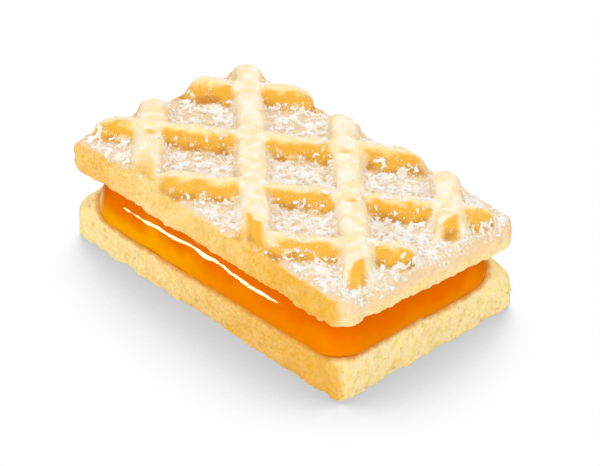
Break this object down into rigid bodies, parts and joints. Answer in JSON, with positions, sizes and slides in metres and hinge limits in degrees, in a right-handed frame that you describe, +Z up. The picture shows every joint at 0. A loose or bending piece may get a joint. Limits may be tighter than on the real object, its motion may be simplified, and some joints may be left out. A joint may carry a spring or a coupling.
{
  "type": "jam-filled waffle biscuit",
  "caption": "Oblong sandwich of two waffle-pressed pale biscuits with a thick layer of glossy orange jam between them, dusted with powdered sugar on top.",
  "frame": {"origin": "middle of the flat underside of the lower biscuit, on the surface it rests on", "axes": "+X along the long side, +Y across the short side, +Z up through the sugared waffle face"},
  "size_m": [0.0652, 0.0396, 0.0218],
  "materials": {
    "sugared_biscuit": "soft baked crumb, pale golden, coated with powdered sugar on the ridges and in the pockets",
    "orange_jam": "glossy, slightly see-through orange jam",
    "baked_biscuit": "soft baked crumb, pale golden, fine pores"
  },
  "bodies": {
    "root": {"top_biscuit": "sugared_biscuit", "jam_filling": "orange_jam", "bottom_biscuit": "baked_biscuit"}
  },
  "joints": []
}
